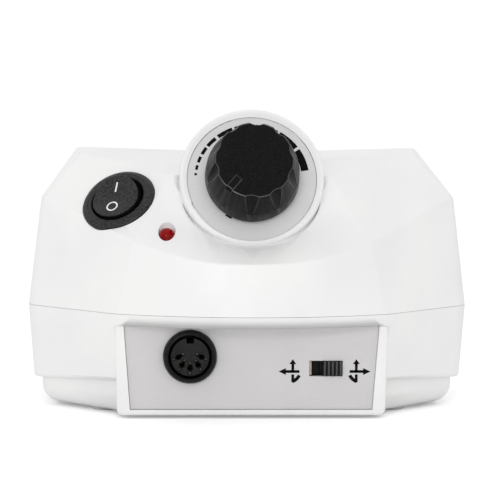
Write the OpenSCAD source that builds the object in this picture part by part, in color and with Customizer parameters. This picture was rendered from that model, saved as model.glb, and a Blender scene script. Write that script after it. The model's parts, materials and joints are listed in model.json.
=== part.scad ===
// Nail drill control box: two-shell housing, speed dial, power rocker, handpiece socket,
// direction switch, rear connections and the power supply inside.
// Millimetres, +Z up, the front faces -Y, the origin is on the floor under the middle.

/* [Housing] */
// Width of the housing at the parting line
case_w = 138.6; // [130:0.2:160]
// Depth from the face of the front panel to the back wall
case_back = 104; // [98:1:125]
// Height of the parting line above the floor
parting_h = 32.2; // [31:0.1:38]
// Wall thickness of both shells
wall = 2.4; // [2:0.1:3]
// Rounding of the outer creases
edge_r = 2; // [1:0.25:2.5]
// Visible seam between the two shells
seam = 0.1; // [0.1:0.05:0.6]
// How far the curved front lip stands out in front of the panel
front_bulge = 10.8; // [8:0.2:14]
// How far the ends of the front lip stand in front of the panel
lip_over = 1.3; // [1:0.1:2]
// Width of the panel frame, which is the chord of the curved front
frame_w = 83.6; // [82:0.1:90]
// How far the foot of the frame is narrower, on each side
frame_in = 0.7; // [0:0.1:1.5]
// Distance from the panel face to the widest point of the housing
widest_y = 32.1; // [28:0.1:38]
// Rounding of the widest corners
side_r = 12; // [11:0.5:15]
// Rounding of the back corners
back_r = 22; // [18:0.5:26]
// How much narrower each side is at the back
side_in = 3; // [0:0.5:6]
// Lean of the upper walls
upper_draft = 6.7; // [4:0.1:9]
// Lean of the lower walls
lower_draft = 4.8; // [3:0.1:6]

/* [Control faces] */
// Height of the front crease above the parting line, in the middle
crease_mid = 15.6; // [13:0.2:18]
// Height of the crease above the parting line where the curved front ends
crease_end = 21.7; // [19:0.2:24]
// Height of the crease above the parting line at the widest corners
crease_side = 34.1; // [31:0.2:37]
// Height of the crease above the parting line at the back
crease_back = 29; // [26:0.5:33]
// Angle of the curved front that is left at crease height
crease_arc = 25.5; // [22:0.5:28]
// Inner end of the brow: sideways, back from the panel, up from the parting line
brow_in = [24.6, 16, 41.7];
// Outer end of the brow: sideways, back, up
brow_out = [53, 37, 47.5];
// Outer end of the ridge on top: sideways, back, up
ridge_out = [54.1, 46.4, 49];
// Inner end of the ridge beside the dial boss: sideways, back, up
ridge_in = [22.4, 51.1, 47.2];
// Height of the valley between the two ridges above the parting line
valley_rise = 45.3; // [42:0.1:46]
// Back corners of the top: sideways, back from the panel, up from the parting line
tail_out = [47, 84, 44.5];

/* [Base] */
// Height of the underside above the floor
foot_h = 1; // [0.8:0.1:3]
// Height of the skirt edge at the panel
skirt_h = 11.6; // [10:0.1:14]
// Fall of the skirt edge towards the back
skirt_fall = 4.7; // [2:0.1:5]
// Rounding under the skirt edge
skirt_r = 1.3; // [1:0.1:3]
// Step from the skirt in to the base
base_step = 2.7; // [2:0.1:4]
// Rounding under the edge of the base
base_r = 6; // [4:0.5:7]
// Diameter of a rubber foot
foot_d = 10; // [8:0.5:12]
// Sideways place of the feet
foot_x = 44.5; // [42:0.5:46]
// Place of the front feet behind the panel face
foot_front = 23; // [21:0.5:26]
// Place of the back feet in front of the back wall
foot_back = 17; // [15:0.5:20]
// Sideways place of the case screws
screw_x = 52; // [50:0.5:53]
// Places of the front and back case screws behind the panel face
screw_y = [37, 76];

/* [Panels] */
// Width of the front panel along its top edge
panel_w = 78; // [74:0.5:80]
// Narrowing of the front panel towards its bottom edge
panel_in = 2; // [0:0.25:3]
// Lower edge of the front panel above the floor
panel_low = 2.9; // [2.6:0.1:5]
// Upper edge of the front panel above the floor
panel_high = 28.6; // [27:0.2:30]
// Thickness of the panels
panel_t = 1.6; // [1.2:0.1:2]
// Depth of the panel behind the rim of its frame
panel_recess = 1.2; // [0.8:0.1:2]
// Width of the ledge that a panel rests on
ledge = 2; // [1.5:0.25:3]
// Width of the rear panel
rear_w = 84; // [80:1:86]
// Depth of the rear panel in its recess
rear_recess = 5; // [4.5:0.5:7]

/* [Speed dial] */
// Place of the dial centre behind the panel face
dial_y = 5; // [3:0.5:8]
// Height of the dial centre above the parting line
dial_rise = 41; // [40:0.5:43]
// Angle of the dial axis above the horizontal
dial_elev = 21.5; // [18:0.5:25]
// Diameter of the boss round the dial
boss_d = 44.4; // [43:0.2:47]
// How far the middle of the boss lies above the middle of the dial
boss_up = 0.65; // [0:0.05:1]
// Rounding of the boss rim
boss_r = 1.4; // [0.8:0.1:1.8]
// Width of the crescent groove under the boss, at its widest
boss_groove = 1.8; // [1:0.1:2.4]
// Diameter of the dial plate
dial_d = 39.6; // [38:0.2:41]
// Thickness of the dial plate
dial_t = 1; // [0.8:0.1:1.5]
// Diameter of the knob at its skirt
knob_d = 29; // [27:0.25:32]
// Diameter of the knob at its cap
cap_d = 24; // [22:0.25:26]
// Height of the knob
knob_h = 16.2; // [15:0.1:19]
// Gap between the knob and the dial plate
knob_gap = 1.7; // [1:0.1:2.5]
// Height of the smooth skirt of the knob
knob_skirt = 6; // [4:0.25:7]
// Number of grip places round the knob, one of them the pointer
grips = 10; // [8:1:12]
// Direction of the pointer at its lowest setting, from the right
pointer_a = 230; // [225:1:240]
// Diameter of the control shaft
shaft_d = 6; // [5.5:0.1:6.4]
// Diameter of the threaded bush
bush_d = 7; // [6.8:0.1:8]
// Diameter of the control's can
pot_d = 17; // [16:0.5:20]
// Depth of the control's can
pot_h = 8.5; // [7:0.5:10]

/* [Power rocker] */
// Place of the rocker to the left of the middle
rocker_x = 40.6; // [39:0.2:42]
// Place of the rocker behind the panel face
rocker_y = 15.3; // [14:0.1:17]
// Height of the rocker above the parting line
rocker_rise = 33.1; // [32:0.1:35]
// Direction that the rocker's face looks, to the left of straight ahead
facet_yaw = 27; // [24:0.5:30]
// Slope of the face that holds the rocker
facet_tilt = 47; // [44:0.5:50]
// Diameter of the rocker's bezel
bezel_d = 23.5; // [23:0.1:25]
// Thickness of the bezel
bezel_t = 2; // [1.5:0.1:2.5]
// Diameter of the housing behind the bezel
rocker_d = 20.6; // [20:0.1:21.5]
// Depth of the housing behind the bezel
rocker_depth = 14; // [12:0.5:17]
// Opening round the button of the power switch
well_d = 18; // [17.6:0.1:18.6]
// Button of the power switch, across
button_d = 15; // [14:0.1:16]
// Rocking angle from off to on
rocker_swing = 17; // [12:1:20]
// Diameter of the button's trunnions
trunnion_d = 2.4; // [2:0.1:3]

/* [Lamp] */
// Place of the lamp to the left of the middle
lamp_x = 26; // [25:0.25:27]
// Place of the lamp behind the panel face
lamp_y = 0.5; // [0:0.1:1]
// Height of the top of the lamp above the parting line
lamp_rise = 26.2; // [24:0.2:27]
// Diameter of the lamp
lamp_d = 5; // [4.8:0.1:5.4]
// Length of the lamp's body
lamp_l = 8.6; // [8:0.2:10]

/* [Handpiece socket] */
// Place of the socket to the left of the middle
socket_x = 18.85; // [17:0.05:22]
// Height of the socket above the floor
socket_z = 19.1; // [17:0.1:20]
// Diameter of the socket's flange
flange_d = 16.5; // [16:0.1:18]
// How far the flange stands out of the panel
flange_h = 3; // [2:0.25:4]
// Diameter of the barrel through the panel
barrel_d = 14.4; // [14:0.1:15]
// Length of the barrel behind the panel
barrel_l = 14; // [12:0.5:18]
// Inside diameter of the barrel
socket_bore = 13.2; // [12.8:0.1:13.4]
// Diameter of the contact carrier
insert_d = 11.8; // [11.4:0.1:12]
// Diameter of the circle that the contacts lie on
pin_circle = 7; // [6.5:0.1:7.5]
// Diameter of a contact hole
pin_hole = 1.7; // [1.5:0.1:1.9]

/* [Slide switches] */
// Place of the direction switch to the right of the middle
switch_x = 22.85; // [19:0.05:25]
// Height of both slide switches above the floor
switch_z = 15.4; // [14:0.2:18]
// Length of the slot that the slider shows in
slot_w = 10.2; // [9.5:0.1:11]
// Height of the slot
slot_h = 4.8; // [4:0.1:5]
// Width of the slider's grip
grip_w = 6.1; // [5.5:0.1:6.5]
// How far the grip stands out of the panel
grip_out = 1; // [0.6:0.1:2]
// Ridges on the grip
ridges = 5; // [4:1:6]
// Size of a slide switch body behind the panel: width, height, depth
switch_body = [15, 7.4, 6];

/* [Rear connections] */
// Height of the inlet, fuse and jack above the floor
rear_z = 16.5; // [15.5:0.5:18]
// Places of the inlet, fuse, jack and mode switch, seen from the back
inlet_x = -29; // [-30:0.5:-26]
// Place of the fuse holder
fuse_x = -7; // [-8:0.5:-4]
// Place of the pedal jack
jack_x = 12; // [10:0.5:14]
// Place of the hand or foot switch
mode_x = 30; // [28:0.5:31]
// Opening of the mains inlet: width, height, depth
inlet_mouth = [15.6, 8.2, 12];
// Distance between the two mains pins
inlet_pitch = 8.6; // [8.2:0.1:9]
// Diameter of a mains pin
inlet_pin_d = 2.4; // [2.2:0.1:2.6]
// Diameter of the fuse holder's flange
fuse_d = 14; // [13.5:0.25:16]
// Diameter of the fuse
fuse_tube_d = 5; // [4.8:0.1:5.4]
// Length of the fuse
fuse_l = 20; // [19:0.5:22]
// Diameter of the jack's bore
jack_bore = 6.4; // [6.3:0.05:6.6]
// Length of the jack's bore
jack_l = 20; // [18:0.5:22]

/* [Power supply] */
// Circuit board: width, depth, thickness
board = [42, 54, 1.6];
// Place of the middle of the board: sideways, behind the panel face
board_at = [-23, 50];
// Height of the board above the inner floor
board_rise = 6; // [5:0.5:10]
// Transformer core: width, depth of the stack, height
core = [42, 17, 36];
// Distance of the transformer behind the front panel
core_y = 52; // [48:1:56]
// Gap between the board's edge and the nearest transformer screw
core_gap = 0.7; // [0.4:0.1:2]
// Width of the outer limbs of the core
limb = 6; // [5:0.5:7]
// Depth of the winding
winding_d = 34; // [30:0.5:36]
// Diameter and height of the large capacitor
cap_big = [13, 25];
// Diameter and height of the small capacitor
cap_small = [10, 16];
// Heat sink: width, depth, height
sink = [30, 13, 25];
// Places of the two filter capacitors, from the board's middle
cap_big_at = [-9, 13];
cap_small_at = [7, 14];
// Bridge rectifier and its place
rectifier = [15, 4, 11];
rectifier_at = [-12, 0];
// Place of the heat sink, which carries the power transistor
sink_at = [0, -14];
transistor = [10.2, 4.5, 15.4];
// Control chip and its place
chip = [9.4, 6.4, 3.6];
chip_at = [13, 1];
// Wire headers at the side and at the back of the board
side_header = [5, 9, 6];
side_header_at = [16, 11];
back_header = [9, 5, 6];
back_header_at = [0, 23.5];

/* [Fasteners and fits] */
// Thread diameter of the case screws
screw_d = 3; // [2.5:0.1:3.5]
// Thread diameter of the board and bracket screws
small_screw_d = 2.6; // [2.4:0.1:3]
// Clearance round a fixed piece in its seat
fit = 0.15; // [0.1:0.05:0.3]
// Running clearance round a turning shaft, on the radius
run = 0.05; // [0.02:0.01:0.1]
// Free gap round a sliding or rocking piece
free = 0.3; // [0.2:0.05:0.5]

/* [Hidden] */
$fn = 64;

shell_white = "#f3f3f3";
panel_grey = "#d0cfd0";
black = "#1f1f1f";
dark = "#373737";
steel = "#b9bcc0";
brass = "#c8a45a";
copper = "#b5703a";

// Small overlap that keeps cuts clean
eps = 0.01;
// Half size of the blocks that stand for half spaces
reach = 200;

half_w = case_w / 2;
// Curved front: radius and half angle of the arc whose chord is the frame
arc_r = (pow(frame_w / 2, 2) + pow(front_bulge, 2)) / (2 * front_bulge);
arc_a = asin(frame_w / 2 / arc_r);
// Points along the front arc, the side corners and the back corners
arc_steps = 7;
corner_steps = 4;
tail_steps = 5;
// First and last direction of the rounded side corners
corner_from = -46;
corner_to = 4;

// Heights inside the case
deck = foot_h + wall;
frame_depth = 6;
draft_in = (parting_h - skirt_h) * tan(lower_draft);
base_in = draft_in + base_step;
lip_h = 2.5;

// The knob reaches furthest forward, so the origin is half way from there to the back wall
cap_r = 0.3;
knob_top = knob_gap + knob_h;
knob_front = dial_y - (knob_top - cap_r) * cos(dial_elev) - (cap_d / 2 - cap_r) * sin(dial_elev) - cap_r;
panel_y = -(case_back + knob_front) / 2;

// Case screws: height of the joint between the lower and upper posts, and head size
post_r = screw_d / 2 + 2.4;
post_joint = parting_h - 10;
head_d = screw_d * 1.9;
head_h = screw_d * 0.8;
head_pocket = 4.5;
screw_bite = 9;
small_post_r = small_screw_d / 2 + 1.8;
small_head_d = small_screw_d * 1.8;
small_head_h = small_screw_d * 0.65;
small_bite = 4;

// Dial seat
boss_l = 70;
boss_rim = 0.3;
groove_shift = boss_groove * 1.3;
groove_deep = 1.4;
seat = dial_t + wall;
washer_t = 0.6;
nut_t = 2;
nut_af = bush_d * 1.45;
bush_l = seat + washer_t + nut_t + 1.2;
nut_room_r = nut_af / 2 / cos(30) + 1.2;
nut_room_h = bush_l - seat - knob_gap + 1.2;
shaft_in_knob = 11;

// Rocker pivot and button form
pivot_z = -1;
button_dip = 3.9;
button_rise = 5.3;
button_low = 5;
rocker_floor = 3;

// Rim at the foot of the lamp
lamp_rim = 1;
lamp_rim_d = lamp_d + 0.8;

// Where the rounded top of the lamp's hole starts, above the dome
lamp_sight = 0.4;

// Nut of the handpiece socket, across its flats
socket_af = barrel_d + 3.6;

// Slide switch travel, and the carriage under the grip
throw = slot_w - grip_w;
stop_gap = 0.05;
carriage = [grip_w + 1.6, slot_h + 1, 1.6];
sheet = 0.6;

// Rear panel
rear_y = case_back - rear_recess;
rear_low = deck + 0.4;
rear_high = panel_high - 0.8;
rear_block = panel_t + ledge + 1;
inlet_flange = 1.5;
inlet_wall = 1.7;
fuse_body_d = fuse_d - 2.4;
fuse_neck_d = fuse_body_d - 2.2;
fuse_rim = 1.8;
fuse_neck_l = 3.5;
fuse_head_l = 2.4;
jack_bush_d = jack_bore + 2.6;
jack_bush_l = 4;
jack_body = [15, 13, jack_l - 1];

// Board and transformer
board_z = deck + board_rise;
board_top = board_z + board.z;
hole_in = 3.5;
core_z = deck + 4;
strap = 1;
strap_foot = 10;
yoke = limb;
core_reach = core.x / 2 + strap + strap_foot;
board_to_core = board.x / 2 + core_gap + small_head_d / 2 - strap_foot / 2 + core_reach;
core_clear = 2;
core_side = case_w / 2 - base_in - wall - core_clear;
board_x = min(board_at.x, core_side - core_reach - board_to_core);
core_x = board_x + board_to_core;
bobbin_t = 1.2;

function reversed(list) = [for (i = [len(list) - 1:-1:0]) list[i]];

// Points of the right half of the plan at the parting line, pulled in by d
function front_pt(a, d) = [(arc_r - d) * sin(a), arc_r - front_bulge - lip_over - (arc_r - d) * cos(a)];
function side_pt(a, d) = [half_w - side_r + (side_r - d) * cos(a), widest_y + (side_r - d) * sin(a)];
function back_pt(a, d) = [
    half_w - side_in - back_r + (back_r - d) * cos(a),
    case_back - back_r + (back_r - d) * sin(a)
];
function half_plan(d, arc) = concat(
    [for (i = [0:arc_steps]) front_pt(arc * i / arc_steps, d)],
    [for (i = [0:corner_steps]) side_pt(corner_from + (corner_to - corner_from) * i / corner_steps, d)],
    [for (i = [0:tail_steps]) back_pt(corner_to + (90 - corner_to) * i / tail_steps, d)]
);

// Height of the crease above the parting line, for a place y behind the panel
function crease_rise(y) = lookup(y, [
    [-front_bulge - lip_over, crease_mid],
    [-lip_over, crease_end],
    [widest_y - side_r / 2, crease_side],
    [case_back, crease_back]
]);

// A corner of the upper body, moved in by d from the faces that meet there
function tucked(p, k, d) = [p.x - k.x * d, p.y + k.y * d, parting_h + p.z - k.z * d];

// Places and directions of the sub-assemblies
module in_case() { translate([0, panel_y, 0]) children(); }
module at_dial() {
    translate([0, panel_y + dial_y, parting_h + dial_rise]) rotate([90 - dial_elev, 0, 0]) children();
}
module at_boss() { at_dial() translate([0, boss_up, 0]) children(); }
module at_rocker() {
    translate([-rocker_x, panel_y + rocker_y, parting_h + rocker_rise])
        rotate([0, 0, -facet_yaw]) rotate([facet_tilt, 0, 0]) children();
}
module at_lamp() { translate([-lamp_x, panel_y + lamp_y, parting_h + lamp_rise]) children(); }
module at_panel(x, z) { translate([x, panel_y, z]) rotate([90, 0, 0]) children(); }
module at_rear(x, z) { translate([-x, panel_y + rear_y, z]) rotate([90, 0, 180]) children(); }
module at_board() { translate([board_x, panel_y + board_at.y, board_top]) children(); }
module at_core() { translate([core_x, panel_y + core_y, core_z]) children(); }
module case_screw_places() {
    for (s = [-1, 1], y = screw_y) translate([s * screw_x, panel_y + y, 0]) children();
}
module foot_places() {
    for (s = [-1, 1], y = [foot_front, case_back - foot_back]) {
        translate([s * foot_x, panel_y + y, 0]) children();
    }
}
module board_screw_places() {
    for (sx = [-1, 1], sy = [-1, 1]) {
        translate([
            board_x + sx * (board.x / 2 - hole_in),
            panel_y + board_at.y + sy * (board.y / 2 - hole_in),
            0
        ]) children();
    }
}
module core_screw_places() {
    for (s = [-1, 1]) {
        translate([core_x + s * (core.x / 2 + strap_foot / 2 + strap), panel_y + core_y, 0]) children();
    }
}

// Shared shapes
module ring(d_out, d_in, h) {
    difference() {
        cylinder(d = d_out, h = h);
        translate([0, 0, -eps]) cylinder(d = d_in, h = h + 2 * eps);
    }
}
module hex_nut(af, d_in, h) {
    difference() {
        cylinder(d = af / cos(30), h = h, $fn = 6);
        translate([0, 0, -eps]) cylinder(d = d_in, h = h + 2 * eps);
    }
}
module stadium(w, h) {
    square([w - h, h], center = true);
    for (s = [-1, 1]) translate([s * (w - h) / 2, 0]) circle(d = h);
}
module pan_screw(d, head_d, head_h, l) {
    translate([0, 0, -l]) cylinder(d = d, h = l + eps);
    cylinder(d = head_d, h = head_h);
}
module block(size, low) { translate([0, 0, low + size.z / 2]) cube(size, center = true); }

// Plan of the housing at the parting line, pulled in by d
module plan(d) {
    half = half_plan(d, arc_a);
    hull() polygon(concat(half, reversed([for (p = half) [-p.x, p.y]])));
}
module slab(d, z) { translate([0, 0, z]) linear_extrude(eps) plan(d); }

// Upper body with one ridge raised, its faces moved in by d and its edges rounded by r
module upper_half(d, r, steps, side) {
    t = d + r;
    drop = 5;
    foot = half_plan(t - drop * tan(upper_draft), arc_a);
    flat = half_plan(0, arc_a);
    hull() {
        for (s = [-1, 1]) mirror([s < 0 ? 1 : 0, 0, 0]) {
            for (p = foot) translate([p.x, p.y, parting_h - drop]) sphere(r, $fn = steps);
            for (i = [0:len(flat) - 1]) {
                rise = crease_rise(flat[i].y);
                p = half_plan(t + rise * tan(upper_draft), crease_arc)[i];
                translate([p.x, p.y, parting_h + rise - 0.4 * t]) sphere(r, $fn = steps);
            }
            translate(tucked(brow_in, [0, 0.5, 0.95], t)) sphere(r, $fn = steps);
            translate(tucked(tail_out, [0.4, -0.4, 0.95], t)) sphere(r, $fn = steps);
        }
        mirror([side < 0 ? 1 : 0, 0, 0]) {
            translate(tucked(brow_out, [0.35, 0.4, 0.95], t)) sphere(r, $fn = steps);
            translate(tucked(ridge_out, [0.45, 0, 1], t)) sphere(r, $fn = steps);
            translate(tucked(ridge_in, [0, 0, 1], t)) sphere(r, $fn = steps);
            translate(tucked([0, ridge_in.y, valley_rise], [0, 0, 1], t)) sphere(r, $fn = steps);
        }
    }
}
module upper_body(d, r, steps) {
    in_case() for (side = [-1, 1]) upper_half(d, r, steps, side);
}

// Boss round the dial, as a turned shape along the dial axis
module boss() {
    big = boss_d / 2;
    rotate_extrude() polygon(concat(
        [[0, -boss_l], [big, -boss_l]],
        [for (i = [0:4])
            let (a = 90 * i / 4) [big - boss_r + boss_r * cos(a), boss_rim - boss_r + boss_r * sin(a)]],
        [[0, boss_rim]]
    ));
}

module top_shell() color(shell_white) {
    difference() {
        intersection() {
            union() {
                difference() {
                    union() {
                        upper_body(0, edge_r, 16);
                        at_boss() boss();
                    }
                    upper_body(wall, edge_r / 2, 8);
                    at_boss() translate([0, 0, -boss_l - 1])
                        cylinder(d = boss_d - 2 * wall, h = boss_l - seat + 1);
                    difference() {
                        at_boss() translate([0, -groove_shift, -boss_l])
                            cylinder(d = boss_d + 2 * (boss_groove - groove_shift), h = 2 * boss_l);
                        at_boss() boss();
                        upper_body(groove_deep, edge_r / 2, 8);
                    }
                }
                intersection() {
                    upper_body(wall / 2, edge_r / 2, 8);
                    union() {
                        case_screw_places() translate([0, 0, post_joint]) hull() {
                            cylinder(r = post_r, h = eps);
                            translate([0, 0, reach / 2]) cylinder(r = post_r + 1, h = eps);
                        }
                        at_lamp() translate([0, 0, -lamp_l + lamp_rim])
                            cylinder(d = lamp_d + 2 * wall, h = reach);
                        at_rocker() translate([0, 0, -wall]) cylinder(d = bezel_d, h = wall);
                    }
                }
            }
            union() {
                translate([-reach, -reach, parting_h + seam]) cube(2 * reach);
                case_screw_places() translate([0, 0, post_joint + seam]) cylinder(r = post_r + 1, h = reach);
            }
        }
        in_case() translate([0, 0, parting_h]) difference() {
            linear_extrude(lip_h + fit) plan((wall - fit) / 2);
            for (s = [-1, 1], y = screw_y) translate([s * screw_x, y, 0])
                cylinder(r = post_r + 1, h = lip_h + 1);
        }
        case_screw_places() translate([0, 0, post_joint]) cylinder(d = screw_d + 2 * fit, h = screw_bite + 2);
        at_dial() translate([0, 0, -dial_t]) cylinder(d = dial_d + 2 * fit, h = reach);
        at_dial() translate([0, 0, -seat - 1]) cylinder(d = bush_d + 2 * fit, h = reach);
        at_rocker() cylinder(d = bezel_d + 2 * fit, h = reach);
        at_rocker() translate([0, 0, -rocker_depth]) cylinder(d = rocker_d + 2 * fit, h = reach);
        at_lamp() {
            translate([0, 0, -reach / 2]) cylinder(d = lamp_d + 2 * fit, h = reach / 2 + lamp_sight);
            translate([0, 0, lamp_sight]) sphere(d = lamp_d + 2 * fit);
        }
        at_lamp() translate([0, 0, -reach / 2])
            cylinder(d = lamp_rim_d + 2 * fit, h = reach / 2 - lamp_l + lamp_rim);
    }
}

// Outline of the front panel grown by d, in its own plane
module panel_shape(d) {
    high = panel_w / 2 + d;
    low = panel_w / 2 - panel_in + d;
    polygon([[-low, panel_low - d], [low, panel_low - d], [high, panel_high + d], [-high, panel_high + d]]);
}
// Frame round the front panel, with a rounded rim
module panel_frame() {
    rim_r = 0.9;
    corner_r = 2;
    high = frame_w / 2;
    low = high - frame_in;
    top = panel_high + 1;
    outline = [[-low, foot_h], [low, foot_h], [high, top], [-high, top]];
    translate([0, panel_y, 0]) rotate([90, 0, 0]) hull() {
        for (i = [0:3]) {
            a = 90 * i / 3;
            translate([0, 0, panel_recess - rim_r + rim_r * sin(a) - eps]) linear_extrude(eps)
                offset(r = corner_r - rim_r * (1 - cos(a))) offset(delta = -corner_r) polygon(outline);
        }
        translate([0, 0, -frame_depth - wall]) linear_extrude(eps) polygon(outline);
    }
}
// Lower body: skirt with a falling rounded edge over a stepped base
module lower_body() {
    steps = 4;
    in_case() {
        difference() {
            hull() {
                slab(0, parting_h - eps);
                for (i = [0:steps]) {
                    a = 90 * i / steps;
                    translate([0, 0, skirt_h + skirt_r * (1 - sin(a))]) rotate([-skirt_fall, 0, 0])
                        linear_extrude(eps) plan(draft_in + skirt_r * (1 - cos(a)));
                }
            }
            translate([-reach, -reach, 0]) cube([2 * reach, reach - panel_recess / 2, panel_high]);
        }
        difference() {
            hull() {
                slab(base_in, skirt_h + 1);
                for (a = [0:15:90]) {
                    slab(base_in + base_r * (1 - cos(a)), foot_h + base_r * (1 - sin(a)));
                }
            }
            translate([-reach, -reach, 0]) cube([2 * reach, reach - panel_recess / 2, panel_high]);
        }
    }
    panel_frame();
}
module lower_room() {
    in_case() difference() {
        hull() {
            slab(wall, parting_h + lip_h + 1);
            slab(wall, parting_h - 1);
            for (a = [0, 45, 90]) {
                slab(base_in + wall + (base_r - wall) * (1 - cos(a)), deck + (base_r - wall) * (1 - sin(a)));
            }
        }
        translate([-reach, -reach, 0]) cube([2 * reach, reach + frame_depth, panel_high + wall]);
        translate([-rear_w / 2 - wall, rear_y - rear_block, 0])
            cube([rear_w + 2 * wall, reach, rear_high + wall]);
    }
}
module bottom_shell() color(shell_white) {
    difference() {
        union() {
            difference() {
                union() {
                    lower_body();
                    in_case() translate([0, 0, parting_h - 1]) linear_extrude(lip_h + 1)
                        plan((wall + fit) / 2);
                }
                lower_room();
            }
            case_screw_places() translate([0, 0, foot_h + 1])
                cylinder(r = post_r, h = post_joint - foot_h - 1);
            board_screw_places() translate([0, 0, foot_h + 1])
                cylinder(r = small_post_r, h = board_z - foot_h - 1);
            core_screw_places() translate([0, 0, foot_h + 1])
                cylinder(r = small_post_r, h = core_z - foot_h - 1);
            at_core() for (s = [-1, 1]) translate([s * (core.x / 2 - limb), 0, 0])
                block([2, core.y, 4 + eps], -4 - eps);
        }
        at_panel(0, 0) translate([0, 0, -panel_t]) linear_extrude(reach) panel_shape(fit);
        at_panel(0, 0) translate([0, 0, -frame_depth - wall]) linear_extrude(reach) panel_shape(-ledge);
        at_panel(-socket_x, socket_z) translate([0, 0, -frame_depth - wall])
            linear_extrude(frame_depth + wall - panel_t)
            square([socket_af / cos(30) + 1, socket_af + 1], center = true);
        at_rear(0, 0) translate([0, 0, -panel_t]) linear_extrude(reach) rear_shape(fit);
        at_rear(0, 0) translate([0, 0, -rear_block - 1]) linear_extrude(reach) rear_shape(-ledge);
        case_screw_places() cylinder(d = head_d + 2 * free, h = foot_h + head_pocket);
        case_screw_places() cylinder(d = screw_d + 2 * fit, h = parting_h);
        board_screw_places() translate([0, 0, board_z - small_bite - 1])
            cylinder(d = small_screw_d + 2 * fit, h = reach);
        core_screw_places() translate([0, 0, core_z - small_bite + 1])
            cylinder(d = small_screw_d + 2 * fit, h = reach);
    }
}
module front_panel() color(panel_grey) {
    difference() {
        at_panel(0, 0) translate([0, 0, -panel_t]) linear_extrude(panel_t) panel_shape(0);
        at_panel(-socket_x, socket_z) translate([0, 0, -panel_t - 1])
            cylinder(d = barrel_d + 2 * fit, h = panel_t + 2);
        at_panel(switch_x, switch_z) cube([slot_w, slot_h, 3 * panel_t], center = true);
    }
}
module rear_shape(d) {
    translate([-rear_w / 2 - d, rear_low - d]) square([rear_w + 2 * d, rear_high - rear_low + 2 * d]);
}
module rear_panel() color(panel_grey) {
    difference() {
        at_rear(0, 0) translate([0, 0, -panel_t]) linear_extrude(panel_t) rear_shape(0);
        at_rear(inlet_x, rear_z) translate([0, 0, -panel_t - 1]) linear_extrude(panel_t + 2)
            inlet_outline(fit);
        at_rear(fuse_x, rear_z) translate([0, 0, -panel_t - 1])
            cylinder(d = fuse_body_d + 2 * fit, h = panel_t + 2);
        at_rear(jack_x, rear_z) translate([0, 0, -panel_t - 1])
            cylinder(d = jack_bush_d + 2 * fit, h = panel_t + 2);
        at_rear(mode_x, switch_z) cube([slot_w, slot_h, 3 * panel_t], center = true);
    }
}
module rubber_feet() color(shell_white) foot_places() cylinder(d = foot_d, h = foot_h);
module case_screws() color(steel) {
    case_screw_places() translate([0, 0, foot_h + head_pocket]) mirror([0, 0, 1])
        pan_screw(screw_d, head_d, head_h, post_joint + screw_bite - foot_h - head_pocket);
}

module dial_plate() color(panel_grey) {
    at_dial() translate([0, 0, -dial_t]) ring(dial_d, bush_d + 2 * fit, dial_t);
}
// Side of the knob: smooth skirt, taper up to the cap, rounded rim
module knob_blank() {
    base = knob_d / 2;
    cap = cap_d / 2;
    rotate_extrude() polygon(concat(
        [[0, 0], [base - 0.4, 0], [base, 0.4], [base - 0.3, knob_skirt]],
        [for (a = [0, 45, 90]) [cap - cap_r + cap_r * cos(a), knob_h - cap_r + cap_r * sin(a)]],
        [[0, knob_h]]
    ));
}
module speed_knob() color(black) {
    flute_r = 4.2;
    flute_depth = 0.85;
    pointer_w = 2.2;
    pointer_h = 0.6;
    base = knob_d / 2;
    cap = cap_d / 2;
    lean = atan((base - 0.3 - cap + flute_depth) / (knob_h - knob_skirt));
    at_dial() translate([0, 0, knob_gap]) difference() {
        union() {
            difference() {
                knob_blank();
                for (k = [1:grips - 1]) rotate(pointer_a + 360 * k / grips)
                    translate([cap - flute_depth, 0, knob_h]) rotate([0, -lean, 0])
                        translate([flute_r, 0, -2 * knob_h]) cylinder(r = flute_r, h = 3 * knob_h);
            }
            rotate(pointer_a) translate([0, pointer_w / 2, 0]) rotate([90, 0, 0]) linear_extrude(pointer_w)
                polygon([
                    [cap * 0.6, knob_h - 2], [cap * 0.6, knob_h + pointer_h], [cap - 0.4, knob_h + pointer_h],
                    [cap + pointer_h, knob_h - 0.4], [base + 0.2, knob_skirt], [cap * 0.6, knob_skirt]
                ]);
        }
        translate([0, 0, -eps]) cylinder(r = nut_room_r, h = nut_room_h);
        translate([0, 0, -eps]) cylinder(d = shaft_d + 2 * run, h = nut_room_h + shaft_in_knob);
    }
}
module pot_shaft() color(steel) {
    at_dial() translate([0, 0, -seat - pot_h + 2])
        cylinder(d = shaft_d, h = seat + pot_h - 2 + knob_gap + nut_room_h + shaft_in_knob - 1);
}
module pot_body() color(steel) {
    at_dial() difference() {
        union() {
            translate([0, 0, -seat - pot_h]) cylinder(d = pot_d, h = pot_h);
            translate([0, 0, -seat - eps]) cylinder(d = bush_d, h = bush_l + eps);
        }
        translate([0, 0, -seat - pot_h + 2 - run]) cylinder(d = shaft_d + 2 * run, h = reach);
    }
}
module pot_terminals() color(brass) {
    at_dial() for (i = [-1:1]) translate([i * 5, -pot_d / 4, 0]) block([1.5, 0.5, 6], -seat - pot_h - 6);
}
module pot_washer() color(steel) at_dial() ring(nut_af + 1, bush_d + 2 * fit, washer_t);
module pot_nut() color(steel) at_dial() translate([0, 0, washer_t]) hex_nut(nut_af, bush_d + 2 * run, nut_t);

module rocker_housing() color(black) {
    rim = 0.6;
    at_rocker() difference() {
        union() {
            cylinder(d = bezel_d, h = bezel_t - rim);
            translate([0, 0, bezel_t - rim]) cylinder(d1 = bezel_d, d2 = bezel_d - 2 * rim, h = rim);
            translate([0, 0, -rocker_depth]) cylinder(d = rocker_d, h = rocker_depth + eps);
        }
        translate([0, 0, -rocker_depth + rocker_floor]) cylinder(d = well_d, h = reach);
        translate([0, 0, pivot_z]) rotate([0, 90, 0])
            cylinder(d = trunnion_d + 2 * run, h = rocker_d + 2, center = true);
    }
}
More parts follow.
